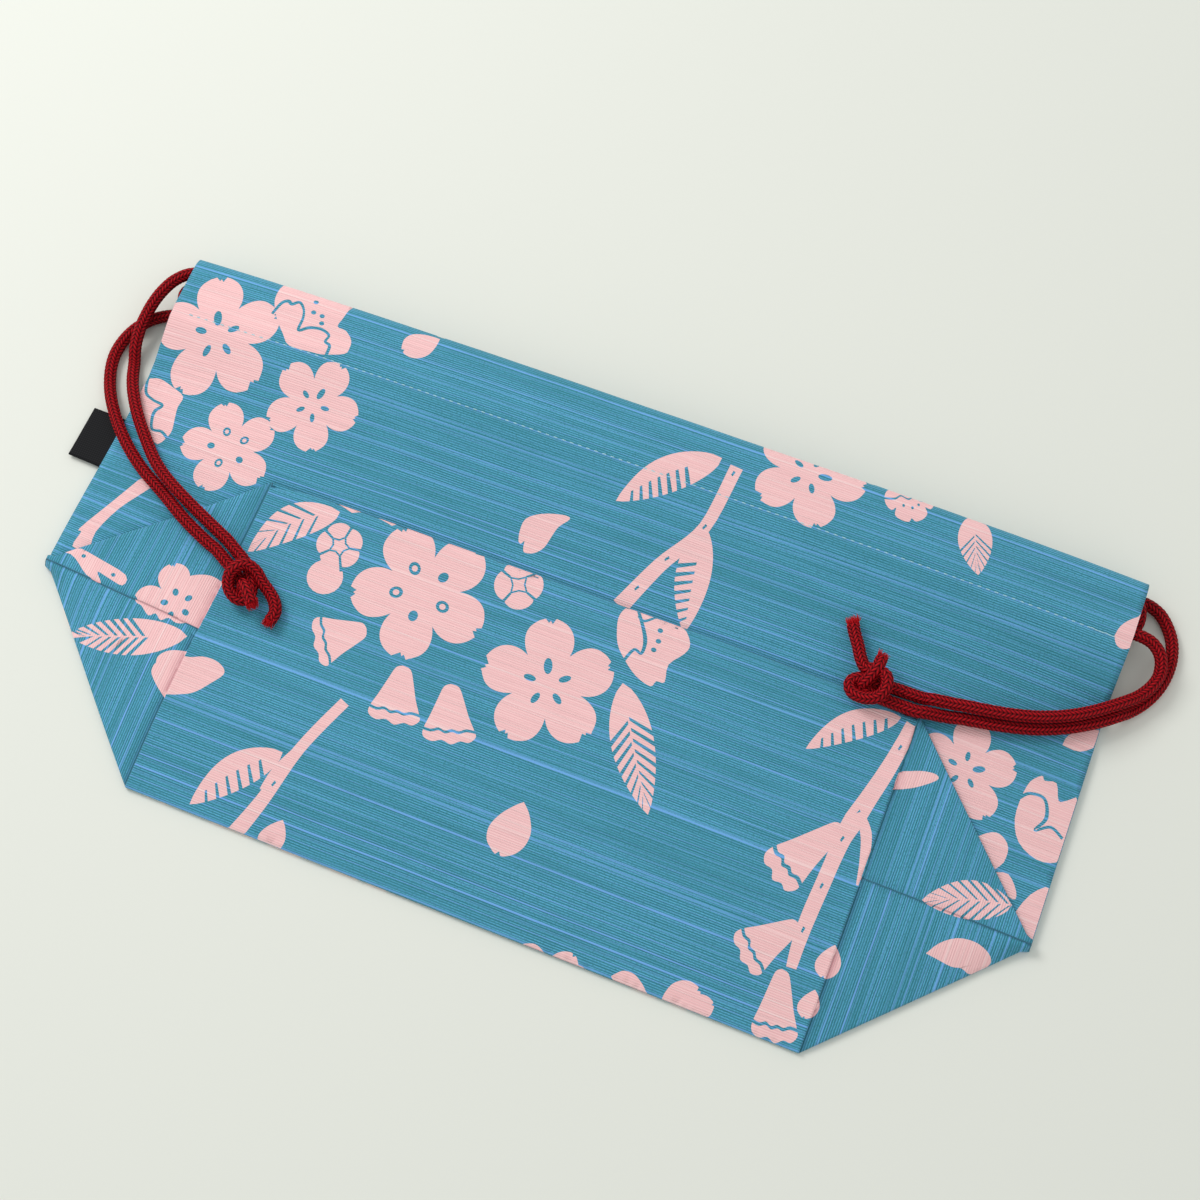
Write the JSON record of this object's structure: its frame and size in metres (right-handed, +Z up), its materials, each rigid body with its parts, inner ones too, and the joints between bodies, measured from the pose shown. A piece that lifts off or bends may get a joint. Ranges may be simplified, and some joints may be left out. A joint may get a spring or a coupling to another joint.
{
  "type": "drawstring lunch bag, lying flat",
  "caption": "Flat-folded drawstring bag of striped blue blossom-print cotton with a boxed bottom, red cords and a black side label.",
  "frame": {"origin": "under the middle of the flat bag, on the surface it lies on, measured without its cords", "axes": "+X across the bag from the labelled side, +Y from the bottom fold towards the mouth, +Z up"},
  "size_m": [0.3738, 0.183, 0.0193],
  "materials": {
    "bag_cloth": "striped cotton with pink blossom print",
    "cord": "braided crimson cord",
    "label": "black woven tape",
    "thread": "pale aqua sewing thread"
  },
  "bodies": {
    "root": {"bag_cloth": "bag_cloth", "left_drawcord": "cord", "right_drawcord": "cord", "left_knot": "cord", "right_knot": "cord", "side_label": "label", "front_casing_stitching": "thread", "back_casing_stitching": "thread"}
  },
  "joints": []
}
